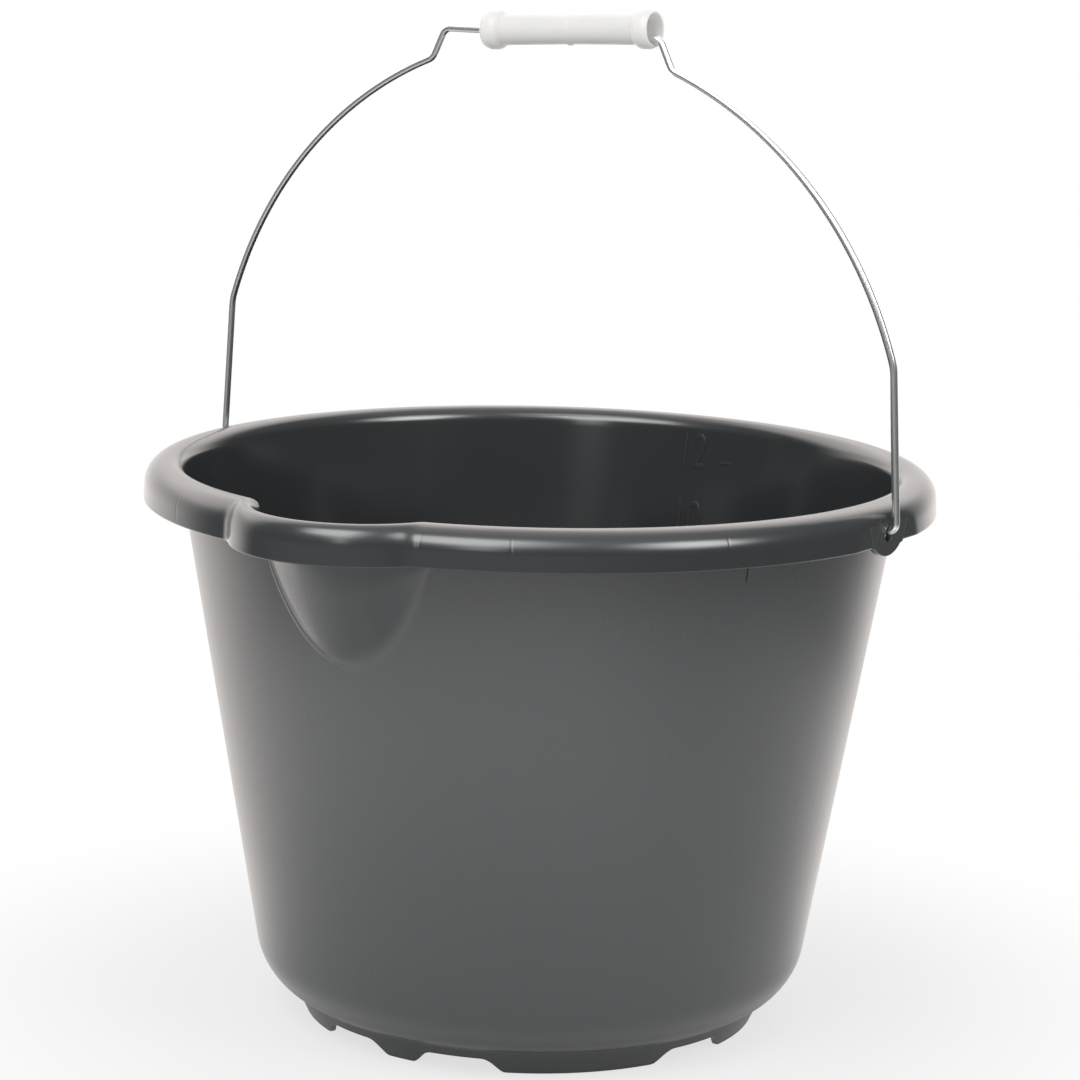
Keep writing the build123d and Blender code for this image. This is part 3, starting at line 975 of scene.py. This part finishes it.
# Steps in light are given as (from, to, value before, value past). On the floor they go by the distance from
# the bucket's axis in metres, unless a comment says otherwise.
shadow_fade = (0.13, 0.36, 0.7, 1.0)       # how much of the floor's own white covers the bucket's shadow
foot_dark = (0.104, 0.122, 0.42, 0.78)     # painted brightness of the floor as the plastic mirrors it: a painted shadow at the foot,
foot_fade = (0.12, 0.24, 0.0, 0.22)
front_near = (0.2, 0.42, 0.72, 1.0)        # in front of the bucket,
front_far = (0.5, 0.56, 1.5, 0.22)
front_end = (0.58, 0.68, 0.0, 0.65)
front_right = (0.05, 0.4, 1.0, 0.74)       # by the distance to the camera's right,
beside_turn = (-0.55, 0.3, 1.0, 0.0)       # and round to the sides and the back, by the cosine of the turn
beside_pull = 0.8                          # the right side starts later, by so much for each metre out
beside_light = 1.6
steep_loss = (0.16, 0.43, 0.54, 0.0)       # painted sheen: what that brightness loses when it is looked at steeply, by its facing
steep_start = (0.13, 0.22)

# In the surroundings they go by the sine of the height above the horizon, unless a comment says otherwise.
plain_light = (-0.1, 0.3, 1.0, 0.58)       # that lights matt surfaces
wall_light = (-0.1, 0.25, 1.6, 1.35)       # behind the bucket
wall_top = (0.2, 0.45, 0.0, 1.1)
wall_end = (0.7, 0.95, 0.0, 1.3)
split_slant = (-0.3, 0.4, 0.16, 0.26)      # the dim side leans to the camera's left as it goes up,
split_turn = (-0.82, -0.44)                # and starts so far round, by the cosine of the turn
room_dim = 0.12                            # on the camera's side
low_glow_turn = 30.0                       # degrees to the camera's left of a low glow in it
low_glow_width = (0.3, 0.95)
low_glow = (-0.02, 0.1, 0.18, 0.0)
ceiling_low = (0.2, 0.55, 0.0, 0.3)
ceiling_high = (0.5, 0.9, 0.0, 0.3)
ceiling_share = 0.35                       # of its light on the sides, against that ahead and overhead
ceiling_ahead = (0.2, 0.75)
ceiling_overhead = (0.75, 0.92)
left_halo = (0.89, 0.99, 0.0, 2.8)         # of the soft boxes, by the cosine of the angle from their middles
left_halo_shift = 0.2                      # it lies so far to the camera's right of its box
right_halo = (0.94, 0.99, 0.0, 4.0)
slit_turn = 17.0                           # degrees to the camera's left of a slit of light between screens
slit_width = (0.994, 0.998)
slit_foot = (0.19, 0.27)
slit_top = (0.45, 0.6, 2.4, 0.0)

toward = Vector((sin(radians(camera_turn)), -cos(radians(camera_turn)), 0))
sideways = Vector((cos(radians(camera_turn)), sin(radians(camera_turn)), 0))
upward = Vector((0, 0, 1))


def in_studio(right, near, up):
    """A place in the studio: right * sideways + near * toward + up * upward."""
    return sideways * right + toward * near + upward * up


def along(signal, axis):
    """How far a place or a direction goes along an axis."""
    product = {"operation": "DOT_PRODUCT"}
    return signal.node("ShaderNodeVectorMath", product, {0: signal, 1: tuple(axis)}, "Value")


def ray_kinds(signal):
    """Two signals: 1 for rays that see the surroundings plainly, and 1 for rays that a surface mirrors."""
    kinds = ("Camera", "Transmission", "Glossy")
    straight, through, mirrored = (
        signal.node("ShaderNodeLightPath", output=f"Is {kind} Ray") for kind in kinds)
    return straight + through, mirrored


def white_floor():
    """White paper that the camera sees nearly white, with the bucket's shadow kept.

    In the plastic it is mirrored as a painted glow: a painted shadow at the bucket's foot, dim far in front,
    brightest at the sides and behind, where the backdrop's lamps are, and a painted sheen that is brighter at
    low angles than at steep ones."""
    finish, shader, place = new_finish("white_paper")
    feed(shader, Base_Color=place.noise(paper_waves, 2).tint(paper_dark, paper_light))
    shader.inputs["Roughness"].default_value = 1.0
    shader.inputs["Specular IOR Level"].default_value = 0.0
    away = place.node("ShaderNodeVectorMath", {"operation": "LENGTH"}, {0: place}, "Value")
    front = along(place, toward)
    aside = along(place, sideways)
    seen, mirrored = ray_kinds(place)
    beside = (front / (away + 0.001) + beside_pull * aside.maths("MAXIMUM", aside)).step(*beside_turn)
    # painted shadow of the bucket at its foot, in the glow that only reflections see
    near = away.step(*foot_dark) + away.step(*foot_fade)
    far = away.step(*front_near) * (away.step(*front_far) + away.step(*front_end)) * aside.step(*front_right)
    # painted sheen: that glow is brighter at low angles than at steep ones
    facing = place.node("ShaderNodeLayerWeight", values={"Blend": 0.5}, output="Facing")
    dull = facing.step(*steep_loss) * away.step(*steep_start)
    image = near * (1 - dull) * (far * (1 - beside) + beside * beside_light)
    glow = place.node("ShaderNodeEmission", values={
        "Color": (mirrored * beside).tint(white, warm_white), "Strength": seen + mirrored * image})
    lit = Signal(place.tree, shader.outputs[0])
    share = seen * away.step(*shadow_fade) + mirrored
    mixed = place.node("ShaderNodeMixShader", values={0: share, 1: lit, 2: glow})
    place.tree.links.new(mixed.socket, place.tree.nodes["Material Output"].inputs["Surface"])
    return finish


floor_edge = np.linspace(0, 2 * pi, 96, endpoint=False)
floor_points = floor_radius * np.stack([np.cos(floor_edge), np.sin(floor_edge), 0 * floor_edge], -1)
floor_mesh = bpy.data.meshes.new("floor")
floor_mesh.from_pydata(floor_points.tolist(), [], [list(range(len(floor_edge)))])
floor_mesh.materials.append(white_floor())
floor = bpy.data.objects.new("floor", floor_mesh)
bpy.context.scene.collection.objects.link(floor)

world = bpy.data.worlds.new("studio")
bpy.context.scene.world = world
world.use_nodes = True
sky = Signal(world.node_tree)
direction = sky.node("ShaderNodeTexCoord", output="Generated")
rise = sky.node("ShaderNodeSeparateXYZ", values={0: direction}, output="Z")
level_length = (1.0001 - rise * rise) ** 0.5


def level_share(axis):
    """How far the looked-in direction goes along a level axis, from -1 to 1, whatever its rise."""
    return along(direction, axis) / level_length


def left_of_camera(angle):
    """A level axis that points so many degrees to the left of the camera."""
    return toward * cos(radians(angle)) - sideways * sin(radians(angle))


def halo(place, band):
    """Light in the directions around a lamp's place, by the cosine of the angle from it."""
    return along(direction, (place - lamp_target).normalized()).step(*band)


left_place = in_studio(*left_box_place)
right_place = in_studio(*right_box_place)
left_halo_place = left_place + sideways * left_halo_shift
seen, mirrored = ray_kinds(sky)
dim_side = (level_share(toward) + rise.step(*split_slant) * level_share(sideways)).step(*split_turn)
overhead = rise.maths("MAXIMUM", level_share(toward).step(*ceiling_ahead), rise.step(*ceiling_overhead))
ceiling = rise.step(*ceiling_low) + rise.step(*ceiling_high)
ceiling = ceiling * (ceiling_share + (1 - ceiling_share) * overhead)
glow = level_share(left_of_camera(low_glow_turn)).step(*low_glow_width) * rise.step(*low_glow)
slit = level_share(left_of_camera(slit_turn)).step(*slit_width) * rise.step(*slit_foot) * rise.step(*slit_top)
halos = halo(left_halo_place, left_halo) + halo(right_place, right_halo)
room_front = room_dim + glow + ceiling + halos + slit
room_back = rise.step(*wall_light) + rise.step(*wall_top) - rise.step(*wall_end)
mirrored_room = dim_side * room_front + (1 - dim_side) * room_back
strength = seen + mirrored * mirrored_room + (1 - seen) * (1 - mirrored) * rise.step(*plain_light)
colour = (mirrored * (1 - dim_side)).tint(white, warm_white)
background = world.node_tree.nodes["Background"]
feed(background, Strength=strength, Color=colour)


def soft_box(name, place, size, power):
    """A rectangular lamp at a place, aimed at the bucket's rim."""
    lamp = bpy.data.lights.new(name, "AREA")
    lamp.shape = "RECTANGLE"
    lamp.size, lamp.size_y = size
    lamp.energy = power
    held = bpy.data.objects.new(name, lamp)
    aim = (lamp_target - place).to_track_quat("-Z", "Y").to_matrix().to_4x4()
    held.matrix_world = Matrix.Translation(place) @ aim
    bpy.context.scene.collection.objects.link(held)


soft_box("left_box", left_place, left_box_size, left_box_watts)
soft_box("right_box", right_place, right_box_size, right_box_watts)

look = bpy.data.cameras.new("camera")
look.lens = camera_lens
look.sensor_width = camera_sensor
look.clip_end = camera_reach
look.shift_x, look.shift_y = camera_shift
camera = bpy.data.objects.new("camera", look)
to_camera = toward * cos(radians(camera_height)) + upward * sin(radians(camera_height))
level_up = to_camera.cross(sideways)
picture_right = sideways * cos(radians(camera_roll)) + level_up * sin(radians(camera_roll))
picture_up = level_up * cos(radians(camera_roll)) - sideways * sin(radians(camera_roll))
camera_turned = Matrix((picture_right, picture_up, to_camera)).transposed().to_4x4()
camera.matrix_world = Matrix.Translation(camera_target + to_camera * camera_distance) @ camera_turned
bpy.context.scene.collection.objects.link(camera)
bpy.context.scene.camera = camera
bpy.context.scene.view_settings.view_transform = "Standard"
